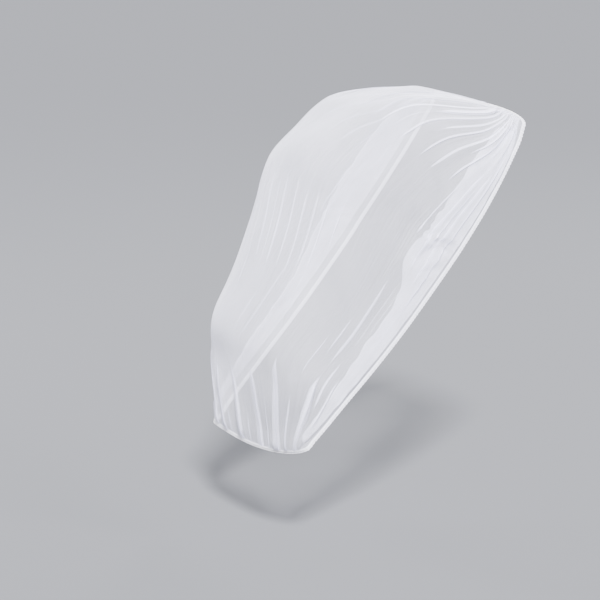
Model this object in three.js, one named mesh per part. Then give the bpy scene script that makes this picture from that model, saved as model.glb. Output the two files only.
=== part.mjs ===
// Mosquito net with an elastic edge, in the shape in which it hangs when it is drawn over a hooded frame.
// Millimetres, +Z up, the front faces -Y. The origin is on the underside of the net, at its highest point.
// The net is one sheet. Across, its ribs run from one side hem over the spine to the other side hem.
// Along, its spine rises from the front hem over the knees, the brow and the crown to the rear hem.

import * as THREE from 'three';

// Driving dimensions
const CLOTH = 2.0; // thickness of the bunched net
const SEAM_GAP = 0.5; // clear gap between the net and its elastic
const SIDE_FOLD = {
  turnIn: 15, // the outer layer turns back this far from the hem
  turnRadius: 3, // radius of the two turns, half the pitch of the layers
  openTurn: 36, // width over which the fold has run out at the front and the rear
  ramp: 34, // the outer layer leaves the body of the net over this width
  front: { flat: 0.034, folded: 0.1 }, // places on the spine between which the fold closes
  rear: { folded: 0.9, flat: 0.966 }, // and between which it opens again
};
const ELASTIC = { width: 10, thickness: 3 };
const LABEL = { width: 36, length: 22, thickness: 1.2, offCentre: 38, fromHem: 4, gap: 0.9 };
const ROWS = 30; // quads along the spine
const PLAIN_COLUMNS = 18; // evenly spaced columns, before those of the folds
const RIDGE_HALF_WIDTH = 14;
const RIB_SAMPLES = 240;

// Stations along the spine, from the front hem to the rear hem, measured over the floor under the front hem
// at: place on the spine, 0 to 1; edgeY: place of the side hems; y, z: the spine itself
// half: half the width; square: 2 is an ellipse, more is boxier; near, far: width of the side folds
const STATIONS = [
  { name: 'front hem', at: 0.0, edgeY: -3, y: -48, z: 238, half: 215, square: 1.8, near: 18, far: 18 },
  { name: 'shin', at: 0.08, edgeY: 15, y: -58, z: 320, half: 218, square: 2.0, near: 24, far: 26 },
  { name: 'under knee', at: 0.16, edgeY: 50, y: -78, z: 430, half: 220, square: 2.1, near: 32, far: 36 },
  { name: 'knee', at: 0.22, edgeY: 85, y: -92, z: 500, half: 220, square: 2.2, near: 38, far: 42 },
  { name: 'lap', at: 0.32, edgeY: 160, y: -52, z: 610, half: 222, square: 2.2, near: 48, far: 50 },
  { name: 'chest', at: 0.44, edgeY: 270, y: 8, z: 755, half: 223, square: 2.2, near: 58, far: 62 },
  { name: 'brow', at: 0.56, edgeY: 380, y: 58, z: 895, half: 223, square: 2.4, near: 104, far: 84 },
  { name: 'hood', at: 0.66, edgeY: 395, y: 150, z: 958, half: 223, square: 3.0, near: 100, far: 96 },
  { name: 'crown', at: 0.75, edgeY: 420, y: 255, z: 1010, half: 222, square: 3.6, near: 104, far: 104 },
  { name: 'top', at: 0.84, edgeY: 470, y: 365, z: 1026, half: 220, square: 2.9, near: 104, far: 110 },
  { name: 'nape', at: 0.91, edgeY: 515, y: 455, z: 1022, half: 216, square: 2.6, near: 90, far: 96 },
  { name: 'rear', at: 0.96, edgeY: 556, y: 530, z: 1004, half: 210, square: 2.4, near: 66, far: 60 },
  { name: 'rear hem', at: 1.0, edgeY: 585, y: 595, z: 980, half: 200, square: 2.2, near: 18, far: 18 },
];
// The side hems seen from the side
const SIDE_HEM = [
  { y: -3, z: 266 },
  { y: 285, z: 550 },
  { y: 568, z: 914 },
  { y: 585, z: 952 },
];
// The net is pulled a little askew: the far hem hangs lower at the front and further back at the rear
const FAR_FRONT_DROP = 40;
const FAR_REAR_SHIFT = 20;
// At the rear the columns draw together towards the two corners
const GATHER = { from: 0.75, power: 0.4, ease: 1.5 };

// Main ridges of the cloth; at: place across, -1 at the far hem and 1 at the near hem; from, to: run along
// the spine; height: how far the ridge stands proud
const RIDGES = [
  { at: -0.78, from: 0.3, to: 0.46, height: 6 },
  { at: -0.78, from: 0.76, to: 0.95, height: 6 },
  { at: -0.5, from: 0.0, to: 0.22, height: 7 },
  { at: -0.5, from: 0.72, to: 0.97, height: 7 },
  { at: -0.25, from: 0.0, to: 0.15, height: 8 },
  { at: -0.25, from: 0.72, to: 0.97, height: 5 },
  { at: 0.0, from: 0.0, to: 0.13, height: 7 },
  { at: 0.0, from: 0.36, to: 0.55, height: 5 },
  { at: 0.25, from: 0.38, to: 0.53, height: 5 },
  { at: 0.25, from: 0.74, to: 0.97, height: 8 },
  { at: 0.43, from: 0.0, to: 0.17, height: 8 },
  { at: 0.43, from: 0.74, to: 0.97, height: 7 },
  { at: 0.63, from: 0.0, to: 0.22, height: 7 },
  { at: 0.63, from: 0.74, to: 0.96, height: 7 },
  { at: 0.79, from: 0.3, to: 0.47, height: 7 },
  { at: 0.79, from: 0.78, to: 0.95, height: 6 },
  { at: 0.91, from: 0.0, to: 0.26, height: 6 },
];

const clamp = THREE.MathUtils.clamp;
const lerp = THREE.MathUtils.lerp;
const smoothstep = THREE.MathUtils.smoothstep;

// A smooth curve through a table's values that never overshoots them
function smoothCurve(xs, ys) {
  const last = xs.length - 1;
  const rise = ys.slice(1).map((y, i) => (y - ys[i]) / (xs[i + 1] - xs[i]));
  const slope = ys.map((_, i) => {
    const before = rise[Math.max(i - 1, 0)];
    const after = rise[Math.min(i, last - 1)];
    return before * after > 0 ? (2 * before * after) / (before + after) : 0;
  });
  return (x) => {
    let i = 0;
    while (i < last - 1 && x > xs[i + 1]) i += 1;
    const run = xs[i + 1] - xs[i];
    const t = (x - xs[i]) / run;
    const u = 1 - t;
    return (
      ys[i] * (1 + 2 * t) * u * u +
      slope[i] * run * t * u * u +
      ys[i + 1] * t * t * (3 - 2 * t) -
      slope[i + 1] * run * t * t * u
    );
  };
}

const stationCurve = (column) =>
  smoothCurve(
    STATIONS.map((s) => s.at),
    STATIONS.map((s) => s[column]),
  );
const edgeY = stationCurve('edgeY');
const spineY = stationCurve('y');
const spineZ = stationCurve('z');
const halfWidth = stationCurve('half');
const squareness = stationCurve('square');
const foldWidth = { near: stationCurve('near'), far: stationCurve('far') };
const edgeZ = smoothCurve(
  SIDE_HEM.map((p) => p.y),
  SIDE_HEM.map((p) => p.z),
);

// One rib of the net: a superellipse from the far hem over the spine to the near hem, measured along its arc
class Rib {
  constructor(along) {
    this.points = [];
    this.outward = [];
    this.arc = [0];
    const power = 2 / squareness(along);
    const half = halfWidth(along);
    for (let i = 0; i <= RIB_SAMPLES; i += 1) {
      const angle = (i / RIB_SAMPLES - 0.5) * Math.PI;
      const side = Math.sign(angle) * Math.abs(Math.sin(angle)) ** power;
      const rise = Math.max(Math.cos(angle), 0) ** power;
      const far = (1 - side) / 2;
      const hem = new THREE.Vector2(
        edgeY(along) + FAR_REAR_SHIFT * far * along ** 4,
        edgeZ(edgeY(along)) + (FAR_REAR_SHIFT * along ** 4 - FAR_FRONT_DROP * (1 - along) ** 2) * far,
      );
      const reach = new THREE.Vector2(spineY(along), spineZ(along)).sub(hem);
      this.points.push(new THREE.Vector3(half * side, hem.x + reach.x * rise, hem.y + reach.y * rise));
      const across = (Math.sign(side) * Math.abs(side) ** (squareness(along) - 1)) / half;
      const out = rise ** (squareness(along) - 1) / reach.lengthSq();
      this.outward.push(new THREE.Vector3(across, out * reach.x, out * reach.y).normalize());
      if (i > 0) this.arc.push(this.arc[i - 1] + this.points[i].distanceTo(this.points[i - 1]));
    }
    this.length = this.arc[RIB_SAMPLES];
  }

  // The point this far along the arc from the far hem, raised by height off the net's own surface
  at(distance, height) {
    const reach = clamp(distance, 0, this.length);
    let i = 0;
    while (i < RIB_SAMPLES - 1 && this.arc[i + 1] < reach) i += 1;
    const t = (reach - this.arc[i]) / (this.arc[i + 1] - this.arc[i]);
    const out = this.outward[i].clone().lerp(this.outward[i + 1], t).normalize();
    return this.points[i].clone().lerp(this.points[i + 1], t).addScaledVector(out, height);
  }
}

// How far a side fold has opened out: 0 folded, 1 flat
function openness(along) {
  const { front, rear } = SIDE_FOLD;
  return Math.max(1 - smoothstep(along, front.flat, front.folded), smoothstep(along, rear.folded, rear.flat));
}

// Columns of one side fold, from the outer layer's turn to the hem: distance in from the hem, and height
function foldColumns(width, open) {
  const { turnIn, turnRadius: r, openTurn } = SIDE_FOLD;
  const turnSteps = 4;
  const columns = [];
  for (let k = 1; k <= turnSteps; k += 1) {
    const angle = Math.PI * (0.5 + k / turnSteps);
    columns.push({ inward: turnIn + r * Math.cos(angle), height: 2 * r + r * Math.sin(angle) });
  }
  for (const share of [1 / 3, 2 / 3]) columns.push({ inward: lerp(turnIn, width, share), height: r });
  for (let k = 0; k <= turnSteps; k += 1) {
    const angle = Math.PI * (0.5 - k / turnSteps);
    columns.push({ inward: width + r * Math.cos(angle), height: r * Math.sin(angle) });
  }
  for (const share of [2 / 3, 1 / 3]) columns.push({ inward: lerp(turnIn, width, share), height: -r });
  columns.push({ inward: 0, height: -r });
  return columns.map(({ inward, height }, k) => ({
    inward: lerp(inward, openTurn * (1 - (k + 1) / columns.length), open),
    height: height * (1 - open),
  }));
}

// Places of the outer layer's columns: the ridges with their two flanks, and plain columns between them
function layerColumns() {
  const ridgePlaces = [...new Set(RIDGES.map((ridge) => ridge.at))];
  const clear = 0.9 / PLAIN_COLUMNS;
  const columns = ridgePlaces.flatMap((at) => [-1, 0, 1].map((flank) => ({ at, flank })));
  for (let i = 0; i <= PLAIN_COLUMNS; i += 1) {
    const at = -1 + (2 * i) / PLAIN_COLUMNS;
    const atEnd = i === 0 || i === PLAIN_COLUMNS;
    if (atEnd || ridgePlaces.every((place) => Math.abs(place - at) > clear)) columns.push({ at, flank: 0 });
  }
  return columns.sort((a, b) => a.at - b.at || a.flank - b.flank);
}

// Height of the ridge at this place across and along, fading at both of its ends; the elastic holds a ridge
// that starts at the front hem down to a share of its height there
function ridgeHeight(at, along) {
  const fade = 0.05;
  const held = 0.25;
  return RIDGES.filter((ridge) => ridge.at === at).reduce((height, { from, to, height: full }) => {
    const rise = lerp(from === 0 ? held : 0, 1, smoothstep(along, from, from + fade));
    return height + full * rise * (1 - smoothstep(along, to - fade, to));
  }, 0);
}

// One row of points of the net's middle surface, from the far hem to the near hem
function netRow(along, columns) {
  const rib = new Rib(along);
  const open = openness(along);
  const drawn = smoothstep(along, GATHER.from, 1) ** GATHER.ease;
  const power = lerp(1, GATHER.power, drawn);
  const ridgeWidth = RIDGE_HALF_WIDTH * lerp(1, 0.3, drawn);
  const turn = lerp(SIDE_FOLD.turnIn, SIDE_FOLD.openTurn, open);
  const outerHeight = 3 * SIDE_FOLD.turnRadius * (1 - open);
  const reach = rib.length / 2 - turn;
  const widths = { near: foldWidth.near(along), far: foldWidth.far(along) };

  const layer = columns.map(({ at, flank }) => {
    const fromSpine = Math.sign(at) * Math.abs(at) ** power * reach + flank * ridgeWidth;
    const inward = rib.length / 2 - Math.abs(fromSpine);
    const width = fromSpine > 0 ? widths.near : widths.far;
    const lift = outerHeight * (1 - smoothstep(inward, width - SIDE_FOLD.ramp / 2, width + SIDE_FOLD.ramp));
    const ridge = flank === 0 ? ridgeHeight(at, along) * lerp(1, 0.5, drawn) : 0;
    return rib.at(rib.length / 2 + fromSpine, lift + ridge);
  });
  const nearFold = foldColumns(widths.near, open).map((c) => rib.at(rib.length - c.inward, c.height));
  const farFold = foldColumns(widths.far, open).map((c) => rib.at(c.inward, c.height));
  return [...farFold.reverse(), ...layer, ...nearFold];
}

// Middle surface of the net as rows of points
function netGrid() {
  const columns = layerColumns();
  return Array.from({ length: ROWS + 1 }, (_, j) => netRow(j / ROWS, columns));
}

// Triangles of a grid; each quad's diagonal runs through the nearest corner of the grid, so that a corner
// that is nearly straight has no flat triangle
function gridTriangles(rows, columns) {
  const triangles = [];
  for (let j = 0; j < rows - 1; j += 1) {
    for (let i = 0; i < columns - 1; i += 1) {
      const a = j * columns + i;
      const b = a + 1;
      const c = a + columns + 1;
      const d = a + columns;
      const falling = i < (columns - 1) / 2 === j < (rows - 1) / 2;
      if (falling) triangles.push([a, b, c], [a, c, d]);
      else triangles.push([a, b, d], [b, c, d]);
    }
  }
  return triangles;
}

// Normals of a grid, each the sum of its faces' area vectors
function gridNormals(points, triangles) {
  const normals = points.map(() => new THREE.Vector3());
  for (const [a, b, c] of triangles) {
    const face = points[b].clone().sub(points[a]).cross(points[c].clone().sub(points[a]));
    for (const k of [a, b, c]) normals[k].add(face);
  }
  return normals.map((n) => n.normalize());
}

// Indices of a grid's border, as one loop
function borderLoop(rows, columns) {
  const loop = [];
  for (let i = 0; i < columns - 1; i += 1) loop.push(i);
  for (let j = 0; j < rows - 1; j += 1) loop.push(j * columns + columns - 1);
  for (let i = columns - 1; i > 0; i -= 1) loop.push((rows - 1) * columns + i);
  for (let j = rows - 1; j > 0; j -= 1) loop.push(j * columns);
  return loop;
}

function closedGeometry(points, triangles) {
  const geometry = new THREE.BufferGeometry();
  geometry.setAttribute('position', new THREE.Float32BufferAttribute(points.flatMap((p) => p.toArray()), 3));
  geometry.setIndex(triangles.flat());
  geometry.computeVertexNormals();
  return geometry;
}

// A closed sheet of even thickness round a grid of points whose faces look outwards
function sheetGeometry(grid, thickness) {
  const rows = grid.length;
  const columns = grid[0].length;
  const middle = grid.flat();
  const faces = gridTriangles(rows, columns);
  const normals = gridNormals(middle, faces);
  const skin = (side) => middle.map((p, k) => p.clone().addScaledVector(normals[k], (side * thickness) / 2));
  const count = middle.length;
  const inner = faces.map(([a, b, c]) => [a + count, c + count, b + count]);
  const rim = borderLoop(rows, columns).flatMap((a, k, loop) => {
    const b = loop[(k + 1) % loop.length];
    return [
      [b, a, a + count],
      [b, a + count, b + count],
    ];
  });
  return closedGeometry([...skin(1), ...skin(-1)], [...faces, ...inner, ...rim]);
}

// A band of rectangular section that follows the border of a grid, just outside it
function bandGeometry(grid, width, thickness, gap) {
  const rows = grid.length;
  const columns = grid[0].length;
  const middle = grid.flat();
  const normals = gridNormals(middle, gridTriangles(rows, columns));
  const loop = borderLoop(rows, columns);
  const points = loop.flatMap((k, n) => {
    const before = middle[loop[(n + loop.length - 1) % loop.length]];
    const after = middle[loop[(n + 1) % loop.length]];
    const run = after.clone().sub(before).normalize();
    const outward = run.clone().cross(normals[k]).normalize();
    const up = outward.clone().cross(run).normalize();
    const corners = [
      { out: gap, rise: -thickness / 2 },
      { out: gap + width, rise: -thickness / 2 },
      { out: gap + width, rise: thickness / 2 },
      { out: gap, rise: thickness / 2 },
    ];
    return corners.map(({ out, rise }) =>
      middle[k].clone().addScaledVector(outward, out).addScaledVector(up, rise),
    );
  });
  const triangles = loop.flatMap((_, n) => {
    const here = n * 4;
    const next = ((n + 1) % loop.length) * 4;
    return [0, 1, 2, 3].flatMap((k) => {
      const m = (k + 1) % 4;
      return [
        [here + k, next + m, here + m],
        [here + k, next + k, next + m],
      ];
    });
  });
  return closedGeometry(points, triangles);
}

// The sewn label lies flat against the inside of the net, beside the middle of the rear hem
function labelGeometry(grid) {
  const [before, hem] = grid.slice(-2);
  const right = hem.findIndex((p) => p.x > LABEL.offCentre);
  const [a, b, c, d] = [before[right - 1], before[right], hem[right], hem[right - 1]];
  const outward = c.clone().sub(a).cross(d.clone().sub(b)).normalize();
  const depth = CLOTH / 2 + LABEL.gap + LABEL.thickness / 2;
  const steps = 2;
  const centre = (LABEL.offCentre - d.x) / (c.x - d.x);
  const halfShare = LABEL.width / 2 / c.distanceTo(d);
  const rowLength = a.distanceTo(d);
  const row = (fromHem) =>
    Array.from({ length: steps + 1 }, (_, i) => {
      const across = centre + halfShare * ((2 * i) / steps - 1);
      const along = 1 - fromHem / rowLength;
      const front = a.clone().lerp(b, across);
      const rear = d.clone().lerp(c, across);
      return front.lerp(rear, along).addScaledVector(outward, -depth);
    });
  return sheetGeometry([row(LABEL.fromHem + LABEL.length), row(LABEL.fromHem)], LABEL.thickness);
}

const finish = (color, roughness) => new THREE.MeshStandardMaterial({ color, roughness, metalness: 0 });

function namedMesh(name, geometry, material) {
  const mesh = new THREE.Mesh(geometry, material);
  mesh.name = name;
  return mesh;
}

const grid = netGrid();
const topStation = STATIONS.find((s) => s.name === 'top');
const net = new THREE.Group();
net.position.set(0, -topStation.y, -topStation.z + CLOTH / 2);
net.add(
  namedMesh('net', sheetGeometry(grid, CLOTH), finish('#e7e7ee', 0.85)),
  namedMesh(
    'elastic_edge',
    bandGeometry(grid, ELASTIC.width, ELASTIC.thickness, SEAM_GAP),
    finish('#f2f2f4', 0.8),
  ),
  namedMesh('label', labelGeometry(grid), finish('#f6f6f4', 0.7)),
);

export default net;
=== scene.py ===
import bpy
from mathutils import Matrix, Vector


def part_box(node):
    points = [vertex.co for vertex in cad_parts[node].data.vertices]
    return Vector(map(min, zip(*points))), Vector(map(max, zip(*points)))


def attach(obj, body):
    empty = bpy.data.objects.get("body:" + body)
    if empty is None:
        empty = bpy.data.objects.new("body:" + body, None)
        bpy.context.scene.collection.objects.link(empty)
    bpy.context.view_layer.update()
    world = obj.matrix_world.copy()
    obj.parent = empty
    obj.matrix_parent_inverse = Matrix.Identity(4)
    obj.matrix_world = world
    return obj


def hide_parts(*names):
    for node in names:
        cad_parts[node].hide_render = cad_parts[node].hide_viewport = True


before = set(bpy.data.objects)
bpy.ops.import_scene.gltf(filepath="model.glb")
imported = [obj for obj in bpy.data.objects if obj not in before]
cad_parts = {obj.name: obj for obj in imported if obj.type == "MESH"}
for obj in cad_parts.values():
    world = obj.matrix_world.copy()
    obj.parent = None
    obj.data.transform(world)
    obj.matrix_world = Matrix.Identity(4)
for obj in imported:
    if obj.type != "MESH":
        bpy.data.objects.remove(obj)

"""Dresses a sheer mosquito net with an elastic edge, hanging in its fitted shape, in a plain pale studio."""

import logging
import math
from dataclasses import dataclass, field
from enum import Enum

import bpy
import numpy as np
from mathutils import Vector

log = logging.getLogger("net")
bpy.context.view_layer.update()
MM = 0.001
SEED = 7
SPINE = 1.28  # metres along the middle of the net

Colour = tuple[float, float, float, float]
Scale = tuple[float, float, float]
Span = tuple[float, float]


class Side(Enum):
    """The two side hems; the value is the sign of X."""

    FAR = -1
    NEAR = 1


# Small helpers


def smoothstep(value: np.ndarray, low: float, high: float) -> np.ndarray:
    """Ease from 0 at low to 1 at high.

    Args:
        value: Where to evaluate.
        low: Value at and below which the result is 0.
        high: Value at and above which the result is 1.

    Returns:
        The eased share.
    """
    share = np.clip((np.asarray(value, float) - low) / (high - low), 0.0, 1.0)
    return share * share * (3.0 - 2.0 * share)


def smooth_curve(xs: list[float], ys: list[float], at: np.ndarray) -> np.ndarray:
    """Evaluate a smooth curve through a table's values that never overshoots them.

    Args:
        xs: Places of the table's rows, rising.
        ys: The table's values.
        at: Where to evaluate.

    Returns:
        The curve's values.
    """
    x, y, at = np.asarray(xs, float), np.asarray(ys, float), np.asarray(at, float)
    rise = np.diff(y) / np.diff(x)
    slope = np.zeros(len(x))
    slope[0], slope[-1] = rise[0], rise[-1]
    for i in range(1, len(x) - 1):
        if rise[i - 1] * rise[i] > 0:
            slope[i] = 2 * rise[i - 1] * rise[i] / (rise[i - 1] + rise[i])
    i = np.clip(np.searchsorted(x, at, side="right") - 1, 0, len(x) - 2)
    run = x[i + 1] - x[i]
    t = (at - x[i]) / run
    u = 1 - t
    rising = y[i] * (1 + 2 * t) * u * u + slope[i] * run * t * u * u
    return rising + y[i + 1] * t * t * (3 - 2 * t) - slope[i + 1] * run * t * t * u


def ripple(rng: np.random.Generator, u: np.ndarray, v: np.ndarray, waves: int, pitch: float) -> np.ndarray:
    """Soft seeded unevenness, about -1 to 1.

    Args:
        rng: Source of the waves' directions and phases.
        u: First coordinate, in metres.
        v: Second coordinate, in metres.
        waves: How many plane waves are summed.
        pitch: Shortest wavelength, in metres.

    Returns:
        The sum of the waves.
    """
    total = np.zeros(np.broadcast(u, v).shape)
    for _ in range(waves):
        length = pitch * rng.uniform(1.0, 3.0)
        turn, phase = rng.uniform(0, math.tau), rng.uniform(0, math.tau)
        total = total + np.sin(math.tau * (u * math.cos(turn) + v * math.sin(turn)) / length + phase)
    return total / math.sqrt(waves)


def crest(phase: np.ndarray, softness: float = 0.012) -> np.ndarray:
    """A wave with narrow soft crests and broad valleys, from -1 to 1, as wrinkled cloth has."""
    return 1.1 - 2.1 * np.sqrt(np.sin(phase / 2) ** 2 + softness)


def unit(vectors: np.ndarray) -> np.ndarray:
    """Scale vectors, which lie on the last axis, to length 1."""
    return vectors / np.linalg.norm(vectors, axis=-1, keepdims=True)


def run_length(points: np.ndarray, axis: int) -> np.ndarray:
    """Measure the distance along lines of points, from the first point of each.

    Args:
        points: Positions, with the coordinates on the last axis.
        axis: The axis that runs along the lines.

    Returns:
        The distances, without the last axis.
    """
    steps = np.linalg.norm(np.diff(points, axis=axis), axis=-1)
    start = np.zeros_like(np.take(steps, [0], axis=axis))
    return np.concatenate([start, np.cumsum(steps, axis=axis)], axis=axis)


def mesh_piece(name: str, points: np.ndarray, faces: list, smooth: bool = True) -> bpy.types.Object:
    """Make an object at the origin from points and faces.

    Args:
        name: Name of the piece.
        points: Vertex positions, in metres.
        faces: Vertex indices of each face.
        smooth: Whether faces are smooth-shaded.

    Returns:
        The new object, linked to the scene.
    """
    mesh = bpy.data.meshes.new(name)
    mesh.from_pydata([tuple(p) for p in points.reshape(-1, 3)], [], faces)
    mesh.update()
    mesh.shade_smooth() if smooth else mesh.shade_flat()
    piece = bpy.data.objects.new(name, mesh)
    bpy.context.scene.collection.objects.link(piece)
    return piece


def grid_faces(rows: int, columns: int) -> np.ndarray:
    """Quads of an open grid whose points run row by row."""
    corner = (np.arange(rows - 1)[:, None] * columns + np.arange(columns - 1)[None, :]).ravel()
    return np.stack([corner, corner + 1, corner + columns + 1, corner + columns], 1)


def add_uv(piece: bpy.types.Object, name: str, uv: np.ndarray) -> None:
    """Give a piece a UV map.

    Args:
        piece: The piece.
        name: Name of the map.
        uv: A pair of coordinates for each vertex.
    """
    layer = piece.data.uv_layers.new(name=name)
    corners = np.empty(len(piece.data.loops), dtype=np.int32)
    piece.data.loops.foreach_get("vertex_index", corners)
    layer.data.foreach_set("uv", uv.reshape(-1, 2)[corners].astype(np.float32).ravel())


# Finishes


class NodeBench:
    """A material's node tree with short calls for adding and linking nodes."""

    def __init__(self, name: str) -> None:
        """Start an empty material.

        Args:
            name: Name of the material.
        """
        self.material = bpy.data.materials.new(name)
        self.material.use_nodes = True
        self.tree = self.material.node_tree
        self.tree.nodes.clear()

    def add(self, kind: str, **values: object) -> bpy.types.Node:
        """Add a node and set its properties and sockets.

        Args:
            kind: Node type without the ShaderNode prefix.
            **values: Node properties by name, or socket values by name with _ for a space.

        Returns:
            The new node.
        """
        node = self.tree.nodes.new(f"ShaderNode{kind}")
        for key, value in values.items():
            if key in node.bl_rna.properties:
                setattr(node, key, value)
            else:
                node.inputs[key.replace("_", " ")].default_value = value
        return node

    def link(self, out: bpy.types.NodeSocket, into: bpy.types.NodeSocket) -> None:
        """Link two sockets."""
        self.tree.links.new(out, into)

    def math(self, kind: str, first: object, second: object = None) -> bpy.types.NodeSocket:
        """Combine sockets or numbers with a Math node.

        Args:
            kind: The operation.
            first: A socket or a number.
            second: A socket, a number or nothing.

        Returns:
            The result's socket.
        """
        node = self.add("Math", operation=kind)
        for socket, value in zip(node.inputs, (first, second)):
            if isinstance(value, bpy.types.NodeSocket):
                self.link(value, socket)
            elif value is not None:
                socket.default_value = value
        return node.outputs[0]

    def on_uv(self, map_name: str, scale: Scale, kind: str, **values: object) -> bpy.types.Node:
        """Add a texture that lies on a UV map, scaled by a Mapping node.

        Args:
            map_name: The piece's UV map.
            scale: Factors along and across the map.
            kind: Texture node type without the ShaderNode prefix.
            **values: The texture's properties and sockets, as for add.

        Returns:
            The texture node.
        """
        texture = self.add(kind, **{"Scale": 1.0, **values})
        uv = self.add("UVMap", uv_map=map_name)
        mapping = self.add("Mapping", Scale=scale)
        self.link(uv.outputs[0], mapping.inputs["Vector"])
        self.link(mapping.outputs[0], texture.inputs["Vector"])
        return texture

    def bump(self, height: bpy.types.NodeSocket, strength: float, depth: float, shader: bpy.types.Node) -> None:
        """Give a shader relief.

        Args:
            height: The relief's socket.
            strength: Share of the relief that shows.
            depth: Depth of the relief, in metres.
            shader: The shader that takes it.
        """
        node = self.add("Bump", Strength=strength, Distance=depth)
        self.link(height, node.inputs["Height"])
        self.link(node.outputs["Normal"], shader.inputs["Normal"])

    def blend(self, first: bpy.types.Node, second: bpy.types.Node) -> bpy.types.Node:
        """Mix two shaders.

        Args:
            first: The shader that shows at a share of 0.
            second: The shader that shows at a share of 1.

        Returns:
            The Mix Shader node, its share still to set.
        """
        node = self.add("MixShader")
        self.link(first.outputs[0], node.inputs[1])
        self.link(second.outputs[0], node.inputs[2])
        return node

    def finish(self, shader: bpy.types.Node) -> bpy.types.Material:
        """Link the surface.

        Args:
            shader: The finished shader.

        Returns:
            The material.
        """
        output = self.add("OutputMaterial")
        self.link(shader.outputs[0], output.inputs["Surface"])
        return self.material


@dataclass(frozen=True)
class SheerNetFinish:
    """Soft white knitted net: fine holes, threads that glow through, denser where it is seen edge on.

    A cover is the share of the light that something stops; scales are per metre.
    """

    thread: Colour = (0.83, 0.832, 0.97, 1.0)
    glow: Colour = (0.81, 0.815, 0.98, 1.0)
    glow_share: float = 0.24
    holes: Scale = (640.0, 640.0 * 0.86, 1.0)
    uneven_holes: float = 0.18
    thread_edge: Span = (0.05, 0.24)
    open_cover: float = 0.09
    thread_cover: float = 0.27
    streak_cover: float = 0.1
    most_cover: float = 0.985
    least_gap: float = 0.02
    streaks: Scale = (260.0, 2.2, 1.0)
    clouds: Scale = (9.0, 5.0, 1.0)
    edge_on_limit: float = 0.24
    relief: float = 0.35
    relief_depth: float = 0.3 * MM
    roughness: float = 0.72
    sheen: float = 0.25
    sheen_roughness: float = 0.45
    specular: float = 0.25

    def build(self) -> bpy.types.Material:
        """Make the material from the maps Weave, in metres, and Strand, across and along.

        Returns:
            The material.
        """
        bench = NodeBench("sheer_net")
        cells = bench.on_uv("Weave", self.holes, "TexVoronoi", feature="DISTANCE_TO_EDGE",
                            voronoi_dimensions="2D", Randomness=self.uneven_holes)
        low, high = self.thread_edge
        thread = bench.add("MapRange", From_Min=low, From_Max=high, To_Min=1.0, To_Max=0.0)
        bench.link(cells.outputs["Distance"], thread.inputs["Value"])
        cover = bench.math("MULTIPLY", thread.outputs["Result"], self.thread_cover)
        cover = bench.math("ADD", cover, self.open_cover)
        streaks = bench.on_uv(
            "Strand", self.streaks, "TexNoise", noise_dimensions="2D", Detail=3.0, Roughness=0.62
        )
        clouds = bench.on_uv("Weave", self.clouds, "TexNoise", noise_dimensions="2D", Detail=2.0, Roughness=0.5)
        for noise, share in ((streaks, 2 * self.streak_cover), (clouds, self.streak_cover)):
            uneven = bench.math("SUBTRACT", noise.outputs[0], 0.5)
            cover = bench.math("ADD", cover, bench.math("MULTIPLY", uneven, share))

        facing = bench.add("LayerWeight", Blend=0.5)
        straight = bench.math("SUBTRACT", 1.0, facing.outputs["Facing"])
        straight = bench.math("MAXIMUM", straight, self.edge_on_limit)
        gap = bench.math("MAXIMUM", bench.math("SUBTRACT", 1.0, cover), self.least_gap)
        gap = bench.math("POWER", gap, bench.math("DIVIDE", 1.0, straight))
        alpha = bench.math("MINIMUM", bench.math("SUBTRACT", 1.0, gap), self.most_cover)

        front = bench.add("BsdfPrincipled", Base_Color=self.thread, Roughness=self.roughness,
                          Sheen_Weight=self.sheen, Sheen_Roughness=self.sheen_roughness,
                          Specular_IOR_Level=self.specular)
        bench.bump(thread.outputs["Result"], self.relief, self.relief_depth, front)
        cloth = bench.blend(front, bench.add("BsdfTranslucent", Color=self.glow))
        cloth.inputs["Fac"].default_value = self.glow_share
        sheer = bench.blend(bench.add("BsdfTransparent"), cloth)
        bench.link(alpha, sheer.inputs["Fac"])
        return bench.finish(sheer)


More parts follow.
